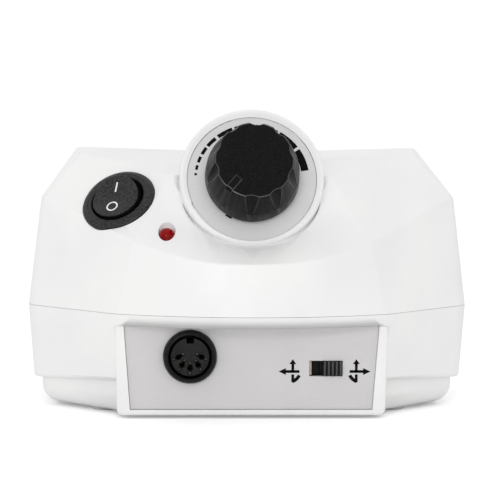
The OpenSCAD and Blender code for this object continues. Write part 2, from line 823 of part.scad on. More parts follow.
// Button: a round paddle with a shallow valley across its middle, shown rocked to off
module rocker_button() color(dark) {
    half = button_d / 2;
    at_rocker() translate([0, 0, pivot_z]) rotate([rocker_swing / 2, 0, 0]) {
        intersection() {
            translate([0, 0, -button_low]) cylinder(r = half, h = 3 * button_low);
            translate([-half, 0, 0]) rotate([90, 0, 90]) linear_extrude(button_d) polygon([
                [-half, -button_low], [half, -button_low],
                [half, button_rise], [0, button_dip], [-half, button_rise]
            ]);
        }
        rotate([0, 90, 0]) cylinder(d = trunnion_d, h = rocker_d - 2 * run - 0.4, center = true);
    }
}
module rocker_terminals() color(brass) {
    at_rocker() for (s = [-1, 1]) translate([0, s * 5, 0]) block([4.8, 0.8, 8], -rocker_depth - 8);
}

module power_led() color("#a00000") {
    at_lamp() {
        translate([0, 0, -lamp_d / 2]) sphere(d = lamp_d);
        translate([0, 0, -lamp_l]) cylinder(d = lamp_d, h = lamp_l - lamp_d / 2);
        translate([0, 0, -lamp_l]) cylinder(d = lamp_rim_d, h = lamp_rim - fit);
    }
}
module led_leads() color(steel) {
    at_lamp() for (s = [-1, 1]) translate([s * 1.27, 0, 0]) block([0.5, 0.5, 12], -lamp_l - 12);
}

module socket_shell() color(black) {
    bevel = 1.2;
    at_panel(-socket_x, socket_z) difference() {
        union() {
            cylinder(d = flange_d, h = flange_h - bevel);
            translate([0, 0, flange_h - bevel]) cylinder(d1 = flange_d, d2 = barrel_d, h = bevel);
            translate([0, 0, -barrel_l]) cylinder(d = barrel_d, h = barrel_l + eps);
        }
        translate([0, 0, -barrel_l - eps]) cylinder(d = socket_bore, h = reach);
    }
}
// The five contacts stand on a half circle that opens towards the key
function contact_at(k) = pin_circle / 2 * [cos(180 + 45 * k), sin(180 + 45 * k)];
module contact_places() { for (k = [0:4]) translate(contact_at(k)) children(); }
module socket_insert() color(dark) {
    face = flange_h - 1.2;
    foot_l = 3;
    key = [2.2, 1.7];
    slot = [3.8, 0.85, 2.5];
    slot_fan = 2.1;
    at_panel(-socket_x, socket_z) difference() {
        union() {
            translate([0, 0, -barrel_l]) cylinder(d = socket_bore - 2 * run, h = foot_l);
            translate([0, 0, -barrel_l]) cylinder(d = insert_d, h = barrel_l + face);
        }
        translate([-key.x / 2, insert_d / 2 - key.y, -barrel_l + foot_l]) cube([key.x, insert_d, reach]);
        contact_places() translate([0, 0, -barrel_l - 1]) cylinder(d = pin_hole, h = barrel_l + flange_h + 1);
        for (k = [0:4]) let (p = contact_at(k)) translate([p.x, p.y, face])
            rotate(atan2(p.y - slot_fan, p.x)) cube([slot.x, slot.y, 2 * slot.z], center = true);
    }
}
module socket_contacts() color(brass) {
    contact_deep = 6;
    at_panel(-socket_x, socket_z) contact_places() translate([0, 0, -barrel_l - 4])
        cylinder(d = pin_hole - 2 * fit, h = barrel_l + 4 - contact_deep);
}
module socket_nut() color(steel) {
    nut_h = 2.5;
    at_panel(-socket_x, socket_z) translate([0, 0, -panel_t - nut_h])
        hex_nut(socket_af, barrel_d + 2 * run, nut_h);
}

// Slide switch pieces in the plane of their panel, whose outer face is at zero
module switch_frame() {
    flap = 4;
    difference() {
        union() {
            block([switch_body.x + 5, switch_body.y + 2 * sheet, sheet], -panel_t - sheet);
            for (s = [-1, 1]) translate([0, s * (switch_body.y + sheet) / 2, 0])
                block([switch_body.x - 2, sheet, flap], -panel_t - flap);
        }
        block([slot_w, slot_h, 2 * panel_t], -2.5 * panel_t);
    }
}
module switch_base() {
    room = [carriage.x + throw + 2 * free, carriage.y + 2 * free, carriage.z + free];
    low = -panel_t - sheet - switch_body.z;
    difference() {
        block([switch_body.x, switch_body.y - 2 * run, switch_body.z], low);
        block([room.x, room.y, room.z + eps], -panel_t - sheet - room.z);
    }
}
module switch_slider() {
    grip_h = slot_h - free;
    pitch = grip_w / ridges;
    ridge_h = 0.5;
    carriage_low = -panel_t - sheet - carriage.z - free / 2;
    translate([throw / 2 - stop_gap, 0, 0]) {
        block(carriage, carriage_low);
        block([grip_w, grip_h, grip_out - ridge_h - carriage_low], carriage_low);
        for (i = [0:ridges - 1]) translate([(i - (ridges - 1) / 2) * pitch, 0, 0])
            block([pitch / 2, grip_h, ridge_h + eps], grip_out - ridge_h - eps);
    }
}
module switch_terminals() {
    for (i = [-1:1], s = [-1, 1]) translate([i * 4, s * 2, 0])
        block([1.2, 0.6, 4], -panel_t - sheet - switch_body.z - 4);
}
module direction_frame() color(steel) at_panel(switch_x, switch_z) switch_frame();
module direction_base() color(black) at_panel(switch_x, switch_z) switch_base();
module direction_slider() color(black) at_panel(switch_x, switch_z) switch_slider();
module direction_terminals() color(brass) at_panel(switch_x, switch_z) switch_terminals();
module mode_frame() color(steel) at_rear(mode_x, switch_z) switch_frame();
module mode_base() color(black) at_rear(mode_x, switch_z) switch_base();
module mode_slider() color(black) at_rear(mode_x, switch_z) switch_slider();
module mode_terminals() color(brass) at_rear(mode_x, switch_z) switch_terminals();

module inlet_outline(d) {
    stadium(inlet_mouth.x + 2 * (inlet_wall + d), inlet_mouth.y + 2 * (inlet_wall + d));
}
module mains_inlet() color(black) {
    back = 3;
    depth = inlet_mouth.z + back - inlet_flange;
    at_rear(inlet_x, rear_z) difference() {
        union() {
            linear_extrude(inlet_flange) inlet_outline(1.2);
            translate([0, 0, -depth]) linear_extrude(depth + eps) inlet_outline(0);
        }
        translate([0, 0, inlet_flange - inlet_mouth.z]) linear_extrude(inlet_mouth.z + 1)
            stadium(inlet_mouth.x, inlet_mouth.y);
        for (s = [-1, 1]) translate([s * inlet_pitch / 2, 0, -depth - 1])
            cylinder(d = inlet_pin_d + 2 * run, h = depth);
    }
}
module inlet_pins() color(steel) {
    tail = 5;
    pin_l = inlet_mouth.z - 3;
    back = inlet_mouth.z - inlet_flange + 3;
    at_rear(inlet_x, rear_z) for (s = [-1, 1]) translate([s * inlet_pitch / 2, 0, -back - tail])
        cylinder(d = inlet_pin_d, h = tail + 3 + pin_l);
}
module fuse_holder() color(black) {
    tail = 4;
    body_l = fuse_neck_l + fuse_l + tail;
    at_rear(fuse_x, rear_z) difference() {
        union() {
            cylinder(d = fuse_d, h = fuse_rim);
            translate([0, 0, -body_l]) cylinder(d = fuse_body_d, h = body_l + eps);
        }
        translate([0, 0, -body_l + 3]) cylinder(d = fuse_tube_d + 1, h = reach);
        translate([0, 0, -fuse_neck_l - free]) cylinder(d = fuse_neck_d + 2 * run, h = reach);
    }
}
module fuse_cap() color(dark) {
    slot = [1.4, 1.2];
    at_rear(fuse_x, rear_z) difference() {
        union() {
            translate([0, 0, -fuse_neck_l]) cylinder(d = fuse_neck_d, h = fuse_neck_l + fuse_rim + eps);
            translate([0, 0, fuse_rim]) translate([0, 0, free]) cylinder(d = fuse_body_d, h = fuse_head_l);
            translate([0, 0, fuse_rim]) cylinder(d = fuse_neck_d, h = free + eps);
        }
        block([fuse_d, slot.x, slot.y + 1], fuse_rim + free + fuse_head_l - slot.y);
        translate([0, 0, -fuse_neck_l - eps]) cylinder(d = fuse_tube_d + 0.8, h = fuse_neck_l - 1);
    }
}
module fuse_link() color("#d8e4e8") {
    at_rear(fuse_x, rear_z) translate([0, 0, -fuse_neck_l - fuse_l + 2])
        cylinder(d = fuse_tube_d, h = fuse_l);
}
module fuse_nut() color(black) {
    nut_h = 3;
    at_rear(fuse_x, rear_z) translate([0, 0, -panel_t - nut_h])
        hex_nut(fuse_body_d + 4, fuse_body_d + 2 * run, nut_h);
}
module pedal_jack() color(dark) {
    at_rear(jack_x, rear_z) difference() {
        union() {
            block(jack_body, -panel_t - jack_body.z);
            translate([0, 0, -panel_t - eps]) cylinder(d = jack_bush_d, h = panel_t + jack_bush_l + eps);
        }
        translate([0, 0, jack_bush_l - jack_l]) cylinder(d = jack_bore, h = jack_l + 1);
    }
}
module jack_nut() color(steel) at_rear(jack_x, rear_z) hex_nut(jack_bush_d + 3, jack_bush_d + 2 * run, 2.4);

module circuit_board() color("#2f6b3a") {
    difference() {
        at_board() block(board, -board.z);
        board_screw_places() translate([0, 0, board_z - 1])
            cylinder(d = small_screw_d + 2 * fit, h = board.z + 2);
    }
}
module board_screws() color(steel) {
    board_screw_places() translate([0, 0, board_top])
        pan_screw(small_screw_d, small_head_d, small_head_h, board.z + small_bite);
}
// Parts on the board, each placed from the board's middle
module filter_capacitors() color("#24406e") {
    at_board() translate(cap_big_at) cylinder(d = cap_big.x, h = cap_big.y);
    at_board() translate(cap_small_at) cylinder(d = cap_small.x, h = cap_small.y);
}
module bridge_rectifier() color(black) at_board() translate(rectifier_at) block(rectifier, 0);
module heat_sink() color("#8f9499") {
    fins = 6;
    spine = 3;
    fin_t = 1.4;
    at_board() translate(sink_at) {
        translate([0, (sink.y - spine) / 2, 0]) block([sink.x, spine, sink.z], 0);
        for (i = [0:fins - 1])
            translate([-sink.x / 2 + fin_t / 2 + i * (sink.x - fin_t) / (fins - 1), -spine / 2, 0])
            block([fin_t, sink.y - spine + eps, sink.z], 0);
    }
}
module power_transistor() color(black) {
    leg = [0.8, 0.5, 5];
    leg_pitch = 2.54;
    at_board() translate([sink_at.x, sink_at.y + (sink.y + transistor.y) / 2]) {
        block(transistor, leg.z);
        for (i = [-1:1]) translate([i * leg_pitch, 0]) block([leg.x, leg.y, leg.z + eps], 0);
    }
}
module control_chip() color(dark) at_board() translate(chip_at) block(chip, 0);
module board_headers() color("#e8e2d0") {
    at_board() translate(side_header_at) block(side_header, 0);
    at_board() translate(back_header_at) block(back_header, 0);
}

module transformer_core() color("#6f7175") {
    window = [core.x / 2 - 2 * limb, core.z - 2 * yoke];
    at_core() difference() {
        block(core, 0);
        for (s = [-1, 1]) translate([s * (limb + window.x / 2), 0, 0])
            block([window.x, core.y + 2, window.y], yoke);
    }
}
// Room between the core's limbs that the bobbin and the winding share
function window_x() = core.x / 2 - 2 * limb;
function window_z() = core.z - 2 * yoke;
module transformer_bobbin() color("#e8e2d0") {
    wide = 2 * limb + 2 * (window_x() - fit);
    at_core() translate([0, 0, yoke]) difference() {
        union() {
            block(
                [2 * limb + 2 * bobbin_t + 2 * fit, core.y + 2 * bobbin_t + 2 * fit, window_z() - 2 * fit],
                fit
            );
            block([wide, winding_d, bobbin_t], fit);
            block([wide, winding_d, bobbin_t], window_z() - fit - bobbin_t);
        }
        block([2 * limb + 2 * fit, core.y + 2 * fit, window_z() + 2], -1);
    }
}
module transformer_winding() color(copper) {
    wide = 2 * limb + 2 * (window_x() - fit) - 1;
    high = window_z() - 2 * fit - 2 * bobbin_t;
    at_core() translate([0, 0, yoke + fit + bobbin_t]) difference() {
        block([wide, winding_d - 1, high], 0);
        block([2 * limb + 2 * bobbin_t + 2 * fit, core.y + 2 * bobbin_t + 2 * fit, high + 2], -1);
    }
}
module transformer_bracket() color(steel) {
    wide = core.x + 2 * strap;
    difference() {
        at_core() {
            block([wide, core.y - 2, strap], core.z);
            for (s = [-1, 1]) {
                translate([s * (core.x + strap) / 2, 0, 0]) block([strap, core.y - 2, core.z + eps], 0);
                translate([s * (core.x / 2 + strap + strap_foot / 2 - eps), 0, 0])
                    block([strap_foot, core.y - 2, strap], 0);
            }
        }
        core_screw_places() translate([0, 0, core_z - 1])
            cylinder(d = small_screw_d + 2 * fit, h = strap + 2);
    }
}
module transformer_screws() color(steel) {
    core_screw_places() translate([0, 0, core_z + strap])
        pan_screw(small_screw_d, small_head_d, small_head_h, strap + small_bite - 2);
}

top_shell();
bottom_shell();
front_panel();
rear_panel();
rubber_feet();
case_screws();
dial_plate();
speed_knob();
pot_shaft();
pot_body();
pot_terminals();
pot_washer();
pot_nut();
rocker_housing();
rocker_button();
rocker_terminals();
power_led();
led_leads();
socket_shell();
socket_insert();
socket_contacts();
socket_nut();
direction_frame();
direction_base();
direction_slider();
direction_terminals();
mains_inlet();
inlet_pins();
fuse_holder();
fuse_cap();
fuse_link();
fuse_nut();
pedal_jack();
jack_nut();
mode_frame();
mode_base();
mode_slider();
mode_terminals();
circuit_board();
board_screws();
filter_capacitors();
bridge_rectifier();
heat_sink();
power_transistor();
control_chip();
board_headers();
transformer_core();
transformer_bobbin();
transformer_winding();
transformer_bracket();
transformer_screws();
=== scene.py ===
# %% [markdown]
# # A nail drill control box
#
# The part is a white plastic box that stands on a table. A speed dial sits on a round boss in front, with
# a power rocker and a red lamp on its left, and a grey panel below carries the handpiece socket and a
# direction switch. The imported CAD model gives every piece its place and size, so the lesson starts by
# loading it.

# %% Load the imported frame
import json
from math import atan2, cos, hypot, pi, radians, sin

import bmesh
import bpy
from mathutils import Matrix, Vector


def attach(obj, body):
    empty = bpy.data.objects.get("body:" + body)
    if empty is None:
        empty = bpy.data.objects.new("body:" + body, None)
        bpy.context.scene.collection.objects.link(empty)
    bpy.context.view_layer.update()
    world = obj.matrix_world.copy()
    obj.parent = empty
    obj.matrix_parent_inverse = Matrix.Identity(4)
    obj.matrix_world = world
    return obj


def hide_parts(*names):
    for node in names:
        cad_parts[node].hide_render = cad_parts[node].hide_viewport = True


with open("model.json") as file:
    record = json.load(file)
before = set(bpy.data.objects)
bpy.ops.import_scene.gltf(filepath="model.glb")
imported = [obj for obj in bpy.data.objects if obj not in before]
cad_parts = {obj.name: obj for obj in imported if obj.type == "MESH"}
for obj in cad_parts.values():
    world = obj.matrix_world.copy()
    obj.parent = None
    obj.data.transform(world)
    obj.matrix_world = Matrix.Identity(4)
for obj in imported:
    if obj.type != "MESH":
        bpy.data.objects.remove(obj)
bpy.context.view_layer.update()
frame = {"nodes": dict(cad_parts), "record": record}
nodes = frame["nodes"]

# %% [markdown]
# ## Places on the object
#
# Small pieces are easiest to model flat, in millimetres, round their own middle. Each place below is a
# matrix that carries such a piece to where it sits: on the sloping dial, on the tilted rocker face, on
# the panels or on the lamp.

# %% Matrices of the places
MM = 0.001
PANEL_Y = -44.0183


def place(x, y, z, *turns):
    m = Matrix.Scale(MM, 4) @ Matrix.Translation((x, y, z))
    for angle, axis in turns:
        m = m @ Matrix.Rotation(radians(angle), 4, axis)
    return m


AT_DIAL = place(0, PANEL_Y + 5, 73.2, (68.5, "X"))
AT_ROCKER = place(-40.6, PANEL_Y + 15.3, 65.3, (-27, "Z"), (47, "X"))
AT_BUTTON = AT_ROCKER @ Matrix.Translation((0, 0, -1)) @ Matrix.Rotation(radians(8.5), 4, "X")
AT_LAMP = place(-26, PANEL_Y + 0.5, 58.4)
AT_FRONT = place(0, PANEL_Y, 0, (90, "X"))
AT_SOCKET = place(-18.85, PANEL_Y, 19.1, (90, "X"))
AT_FLOOR = place(0, 0, 0)
print("dial axis", [round(c, 3) for c in (AT_DIAL.to_3x3() @ Vector((0, 0, 1))).normalized()])

# %% [markdown]
# ## Colours and nodes
#
# Colours are written as sRGB hex values, the way a paint chart gives them, and one function turns them to
# the linear values that Blender mixes. A second small function adds a shader node, sets its values and
# links what feeds it, so that each finish below reads like a list of its layers.

# %% Colour and node helpers


def colour(hex_value):
    parts = [int(hex_value[i:i + 2], 16) / 255 for i in (1, 3, 5)]
    return (*[c / 12.92 if c <= 0.04045 else ((c + 0.055) / 1.055) ** 2.4 for c in parts], 1.0)


def add(finish, kind, inputs, stops=(), **settings):
    made = finish.node_tree.nodes.new(kind)
    for name, value in settings.items():
        setattr(made, name, value)
    for name, value in inputs.items():
        if isinstance(value, bpy.types.NodeSocket):
            finish.node_tree.links.new(value, made.inputs[name])
        else:
            made.inputs[name].default_value = value
    for i, (at, shade) in enumerate(stops):
        made.color_ramp.elements[i].position = at
        made.color_ramp.elements[i].color = colour(shade)
    return made


def new_finish(name):
    finish = bpy.data.materials.new(name)
    finish.use_nodes = True
    shader = finish.node_tree.nodes["Principled BSDF"]
    where = add(finish, "ShaderNodeTexCoord", {}).outputs["Object"]
    return finish, shader, where


def feed(finish, shader, **sockets):
    for name, value in sockets.items():
        target = shader.inputs[name.replace("_", " ")]
        if isinstance(value, bpy.types.NodeSocket):
            finish.node_tree.links.new(value, target)
        else:
            target.default_value = value


def per_metre(size_mm):
    return 1000 / size_mm


print("white plastic is", [round(c, 3) for c in colour("#f3f3f3")[:3]], "in linear light")

# %% [markdown]
# ## Moulded white ABS
#
# The housing is injection moulded ABS. A polished mould gives a soft gloss with a very faint ripple, and
# the plastic is never one even white: it is a touch warmer or greyer over a few centimetres. Noise at
# three sizes gives the tint, the roughness and the ripple. The ripple is drawn at 0.8 mm, coarser than
# the real one, so that it shows at all.

# %% White ABS
white_abs, shader, where = new_finish("white_abs")
cloud = add(white_abs, "ShaderNodeTexNoise", {"Vector": where, "Scale": per_metre(30), "Detail": 3.0})
tint = add(white_abs, "ShaderNodeValToRGB", {"Fac": cloud.outputs["Fac"]},
           stops=[(0.35, "#f0f0f1"), (0.65, "#f5f5f4")])
haze = add(white_abs, "ShaderNodeTexNoise", {"Vector": where, "Scale": per_metre(5), "Detail": 4.0})
sheen = add(white_abs, "ShaderNodeMapRange", {
    "Value": haze.outputs["Fac"], "From Min": 0.3, "From Max": 0.7, "To Min": 0.30, "To Max": 0.38})
ripple = add(white_abs, "ShaderNodeTexNoise", {"Vector": where, "Scale": per_metre(0.8), "Detail": 2.0})
bump = add(white_abs, "ShaderNodeBump", {
    "Height": ripple.outputs["Fac"], "Strength": 0.04, "Distance": 0.0002})
feed(white_abs, shader, Base_Color=tint.outputs["Color"], Roughness=sheen.outputs["Result"],
     Normal=bump.outputs["Normal"], IOR=1.54)
print("made", white_abs.name)

# %% [markdown]
# ## Painted grey sheet
#
# The front and rear panels and the dial plate are printed sheet: a silver grey ink with fine metal flake
# in it. The flake is about 0.25 mm here so that it shows, and it lightens the ink a little and makes it
# glossier spot by spot.

# %% Flake grey for the panels and the dial plate


def flake_grey(name, dark_hex, light_hex, rough):
    finish, shader, where = new_finish(name)
    flake = add(finish, "ShaderNodeTexVoronoi", {"Vector": where, "Scale": per_metre(0.25)})
    wash = add(finish, "ShaderNodeTexNoise", {"Vector": where, "Scale": per_metre(12), "Detail": 3.0})
    mixed = add(finish, "ShaderNodeMix", {
        "Factor": 0.35, "A": wash.outputs["Fac"], "B": flake.outputs["Color"]}, data_type="FLOAT")
    tint = add(finish, "ShaderNodeValToRGB", {"Fac": mixed.outputs["Result"]},
               stops=[(0.2, dark_hex), (0.8, light_hex)])
    gloss = add(finish, "ShaderNodeMapRange", {
        "Value": flake.outputs["Distance"], "From Max": 0.6, "To Min": rough - 0.08, "To Max": rough + 0.08})
    grain = add(finish, "ShaderNodeBump", {
        "Height": flake.outputs["Distance"], "Strength": 0.05, "Distance": 0.00005})
    feed(finish, shader, Base_Color=tint.outputs["Color"], Roughness=gloss.outputs["Result"],
         Normal=grain.outputs["Normal"], Metallic=0.1, IOR=1.5)
    return finish


panel_ink = flake_grey("panel_ink", "#cfcdce", "#d7d5d6", 0.48)
dial_ink = flake_grey("dial_ink", "#d6d6d7", "#e1e1e2", 0.42)
print("made", panel_ink.name, "and", dial_ink.name)

# %% [markdown]
# ## Black and charcoal plastics
#
# The knob is a soft matt black, the rocker and the socket ring are charcoal with a spark eroded grain,
# and the small fittings are plain satin black. Rubber and printing ink differ from these only in their
# mould surface and gloss, so one function makes them all from two colours, a grain size and a depth.

# %% Moulded plastics, rubber and ink


def moulded(name, low_hex, high_hex, grain_mm, rough, depth, shine):
    finish, shader, where = new_finish(name)
    grain = add(finish, "ShaderNodeTexNoise", {
        "Vector": where, "Scale": per_metre(grain_mm), "Detail": 3.0, "Roughness": 0.6})
    wear = add(finish, "ShaderNodeTexNoise", {"Vector": where, "Scale": per_metre(7), "Detail": 2.0})
    tint = add(finish, "ShaderNodeValToRGB", {"Fac": grain.outputs["Fac"]},
               stops=[(0.38, low_hex), (0.66, high_hex)])
    gloss = add(finish, "ShaderNodeMapRange", {
        "Value": wear.outputs["Fac"], "From Min": 0.3, "From Max": 0.7,
        "To Min": rough - 0.06, "To Max": rough + 0.06})
    bump = add(finish, "ShaderNodeBump", {
        "Height": grain.outputs["Fac"], "Strength": depth, "Distance": 0.0001})
    feed(finish, shader, Base_Color=tint.outputs["Color"], Roughness=gloss.outputs["Result"],
         Normal=bump.outputs["Normal"], Specular_IOR_Level=shine)
    return finish


# Matt moulded ABS: it takes in most of the light, and only its edges shine.
knob_black = moulded("matt_black_abs", "#040404", "#171717", 0.45, 0.36, 0.1, 0.08)
# Satin moulded nylon: a soft, wide highlight.
satin_black = moulded("satin_black_nylon", "#0d0d0d", "#161616", 0.5, 0.35, 0.08, 0.14)
# The same nylon, greyer and with a sharper highlight: the grey is a painted highlight on edges and ridge
# tops.
painted_highlight_black = moulded("painted_highlight_nylon", "#303030", "#464646", 0.5, 0.22, 0.05, 0.5)
# Spark eroded nylon: light and dark specks, drawn coarser than the real 0.1 mm so that they show.
charcoal = moulded("grained_charcoal_nylon", "#111111", "#414141", 0.4, 0.5, 0.6, 0.2)
# Fine grained nylon: an even, dull dark grey.
fine_grey = moulded("fine_grey_nylon", "#191919", "#242424", 0.5, 0.4, 0.08, 0.15)
# Matt white rubber: no clear highlight at all.
soft_rubber = moulded("white_rubber", "#cfcfcd", "#dcdcda", 0.6, 0.75, 0.25, 0.2)
# Screen printed inks: flat and dull, with a faint texture from the mesh.
black_ink = moulded("black_screen_ink", "#090909", "#101010", 0.6, 0.6, 0.03, 0.05)
# The white one is a little glossier than the black.
white_ink = moulded("white_screen_ink", "#e9e9e9", "#f4f4f4", 0.6, 0.5, 0.03, 0.3)
print("made eight moulded and printed finishes")

# %% [markdown]
# ## The red lamp
#
# The lamp is a 5 mm light emitting diode, cast in clear deep red epoxy. When it is off, the eye sees a
# dark red body with a sharp highlight. The red is darker towards the foot, as painted shade where the dome
# sits down in the panel, and lighter towards the top, with a random swirl through it.

# %% Red epoxy
red_epoxy, shader, where = new_finish("red_epoxy")
# Painted shade: the red darkens from the top of the dome down to its foot, broken by a swirl.
height = add(red_epoxy, "ShaderNodeSeparateXYZ", {"Vector": where})
rise = add(red_epoxy, "ShaderNodeMapRange", {
    "Value": height.outputs["Z"], "From Min": 0.054, "From Max": 0.0585})
swirl = add(red_epoxy, "ShaderNodeTexNoise", {"Vector": where, "Scale": per_metre(2)})
depth = add(red_epoxy, "ShaderNodeMath", {
    0: rise.outputs["Result"], 1: swirl.outputs["Fac"]}, operation="MULTIPLY")
tint = add(red_epoxy, "ShaderNodeValToRGB", {"Fac": depth.outputs["Value"]},
           stops=[(0.0, "#660002"), (0.6, "#a40005")])
feed(red_epoxy, shader, Base_Color=tint.outputs["Color"], Roughness=0.05, Specular_IOR_Level=0.14)
print("made", red_epoxy.name)

# %% [markdown]
# ## Metals
#
# Screws, nuts and switch frames are nickel plated steel, the contacts are brass, the heat sink is raw
# aluminium. Rolled and turned metal has fine lines in one direction, so the noise is stretched along one
# axis. The metals keep the default IOR, and only their colour, roughness and line spacing differ.

# %% Streaked metals


def streaked_metal(name, low_hex, high_hex, rough, line_mm):
    finish, shader, where = new_finish(name)
    along = add(finish, "ShaderNodeMapping", {"Vector": where, "Scale": (1.0, 0.06, 1.0)})
    lines = add(finish, "ShaderNodeTexNoise", {
        "Vector": along.outputs["Vector"], "Scale": per_metre(line_mm), "Detail": 3.0})
    tint = add(finish, "ShaderNodeValToRGB", {"Fac": lines.outputs["Fac"]},
               stops=[(0.3, low_hex), (0.7, high_hex)])
    gloss = add(finish, "ShaderNodeMapRange", {
        "Value": lines.outputs["Fac"], "From Min": 0.3, "From Max": 0.7,
        "To Min": rough - 0.07, "To Max": rough + 0.07})
    bump = add(finish, "ShaderNodeBump", {
        "Height": lines.outputs["Fac"], "Strength": 0.08, "Distance": 0.00005})
    feed(finish, shader, Base_Color=tint.outputs["Color"], Roughness=gloss.outputs["Result"],
         Normal=bump.outputs["Normal"], Metallic=1.0)
    return finish


# Nickel plated steel: bright and slightly warm.
nickel = streaked_metal("nickel_plate", "#b2b4b6", "#cfd0d0", 0.3, 0.5)
# Turned brass: yellow, with clear lines.
brass = streaked_metal("bright_brass", "#b8924a", "#d9b877", 0.28, 0.4)
# Brass deep in the socket: its dark colour is painted shade, for the shade down in the holes.
painted_shade_brass = streaked_metal("painted_shade_brass", "#2a2114", "#40321d", 0.5, 0.4)
# Tinned bronze leaves: a pinkish grey.
tinned = streaked_metal("tinned_bronze", "#9c8f86", "#beb2a8", 0.3, 0.3)
# Extruded aluminium: dull, with wide draw lines.
aluminium = streaked_metal("extruded_aluminium", "#a4a7a9", "#c2c4c6", 0.42, 0.6)
print("made", nickel.name, brass.name, painted_shade_brass.name, tinned.name, aluminium.name)

# %% [markdown]
# ## Finishes inside the case
#
# These show only when the part is taken apart: ivory nylon, the green board, the capacitor sleeves, the
# transformer's stacked steel and its copper wire. Steel sheets are 0.5 mm thick and the wire is 0.4 mm,
# so a wave texture with that spacing draws the stack and the turns.

# %% Sheet, nylon, board and windings


def mottled(name, low_hex, high_hex, size_mm, rough, **more):
    finish, shader, where = new_finish(name)
    spots = add(finish, "ShaderNodeTexNoise", {"Vector": where, "Scale": per_metre(size_mm), "Detail": 4.0})
    tint = add(finish, "ShaderNodeValToRGB", {"Fac": spots.outputs["Fac"]},
               stops=[(0.35, low_hex), (0.65, high_hex)])
    bump = add(finish, "ShaderNodeBump", {
        "Height": spots.outputs["Fac"], "Strength": 0.06, "Distance": 0.0001})
    feed(finish, shader, Base_Color=tint.outputs["Color"], Roughness=rough,
         Normal=bump.outputs["Normal"], **more)
    return finish


def banded(name, low_hex, high_hex, spacing_mm, direction, rough, metal):
    finish, shader, where = new_finish(name)
    bands = add(finish, "ShaderNodeTexWave", {
        "Vector": where, "Scale": per_metre(spacing_mm) * pi / 10, "Distortion": 0.4, "Detail": 1.0},
        bands_direction=direction)
    tint = add(finish, "ShaderNodeValToRGB", {"Fac": bands.outputs["Fac"]},
               stops=[(0.1, low_hex), (0.6, high_hex)])
    bump = add(finish, "ShaderNodeBump", {
        "Height": bands.outputs["Fac"], "Strength": 0.3, "Distance": 0.0001})
    feed(finish, shader, Base_Color=tint.outputs["Color"], Roughness=rough,
         Normal=bump.outputs["Normal"], Metallic=metal)
    return finish


# Unfilled nylon: ivory and waxy.
nylon = mottled("ivory_nylon", "#e2dcc8", "#efe9d8", 2.0, 0.45)
# Solder mask: a thin green varnish, glossy over the board.
mask_green = mottled("solder_mask", "#1f5a31", "#2c7040", 3.0, 0.3)
# Shrink sleeve of PVC: blue and glossy.
sleeve_blue = mottled("shrink_sleeve", "#1c3563", "#28487e", 4.0, 0.25)
# Clear glass tube.
fuse_glass = mottled("fuse_glass", "#e4ecee", "#f2f6f7", 3.0, 0.05, Transmission_Weight=0.9, IOR=1.5)
# Stacked electrical steel: a dark line between every two sheets.
lamination = banded("stacked_steel", "#3f4043", "#707275", 0.5, "Y", 0.4, 0.9)
# Enamelled copper wire: round turns side by side, with a varnished shine.
wire = banded("enamelled_wire", "#7d3f16", "#c47a3c", 0.4, "Z", 0.3, 0.9)
print("made six inner finishes")

# %% [markdown]
# ## Helpers for the pieces
#
# A turned piece is a profile that spins round its axis, the way a lathe or a round mould makes it. A skin
# is a copy of a CAD piece with its loose triangles merged and its flat parts joined, so that it can be
# smoothed or bevelled. Every finished piece goes through one function: it is carried to its place, named,
# finished, rounded and tied to a body.

# %% Turned pieces, skins and the finishing step
IDENTITY = Matrix.Identity(4)


def verts_in(geom):
    return [g for g in geom if isinstance(g, bmesh.types.BMVert)]


def turned(profile, steps=96):
    bm = bmesh.new()
    points = [bm.verts.new((r, 0, z)) for r, z in profile]
    edges = [bm.edges.new(pair) for pair in zip(points, points[1:])]
    bmesh.ops.spin(bm, geom=points + edges, cent=(0, 0, 0), axis=(0, 0, 1), angle=2 * pi, steps=steps,
                   use_merge=True)
    bmesh.ops.remove_doubles(bm, verts=bm.verts, dist=0.0005)
    bmesh.ops.recalc_face_normals(bm, faces=bm.faces)
    return bm


def skin_of(node, flat_deg=1.0, weld_mm=0.03):
    bm = bmesh.new()
    bm.from_mesh(nodes[node].data)
    bmesh.ops.remove_doubles(bm, verts=bm.verts, dist=weld_mm * MM)
    bmesh.ops.dissolve_limit(bm, angle_limit=radians(flat_deg), verts=bm.verts, edges=bm.edges)
    return bm


def repeated(bm, spots):
    one = bm.verts[:] + bm.edges[:] + bm.faces[:]
    for spot in spots[1:]:
        copy = bmesh.ops.duplicate(bm, geom=one)["geom"]
        bmesh.ops.translate(bm, verts=verts_in(copy), vec=Vector(spot) - Vector(spots[0]))
    bmesh.ops.translate(bm, verts=bm.verts, vec=spots[0])
    return bm


def show(name, bm, at, body, finish, round_mm=0.0, sharp_deg=32, stands_for=(), edge_finish=None):
    bm.transform(at)
    mesh = bpy.data.meshes.new(name)
    bm.to_mesh(mesh)
    bm.free()
    mesh.polygons.foreach_set("use_smooth", [True] * len(mesh.polygons))
    piece = bpy.data.objects.new(name, mesh)
    bpy.context.scene.collection.objects.link(piece)
    piece.data.materials.append(finish)
    if round_mm:
        soft = piece.modifiers.new("soft_edges", "BEVEL")
        soft.width = round_mm * MM
        soft.segments = 3
        soft.limit_method = "ANGLE"
        soft.angle_limit = radians(sharp_deg)
        soft.harden_normals = True
        soft.use_clamp_overlap = False
        if edge_finish:
            piece.data.materials.append(edge_finish)
            soft.material = 1
    else:
        mesh.set_sharp_from_angle(angle=radians(sharp_deg))
    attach(piece, body)
    if stands_for:
        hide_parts(*stands_for)
    print(name, "has", len(mesh.polygons), "faces and rides on", body)
    return piece


def second_finish(piece, finish, chosen):
    piece.data.materials.append(finish)
    for face in piece.data.polygons:
        face.material_index = int(chosen(face))


# %% [markdown]
# ## The housing
#
# The two shells come from the CAD model as they are, because their form is right. The CAD mesh is loose
# triangles with a flat shade on each, so each shell is shown by a skin. Its small facets follow the
# curved front and the rounded edges, and weighted normals let the big faces keep their own direction
# while the edges between them blend.

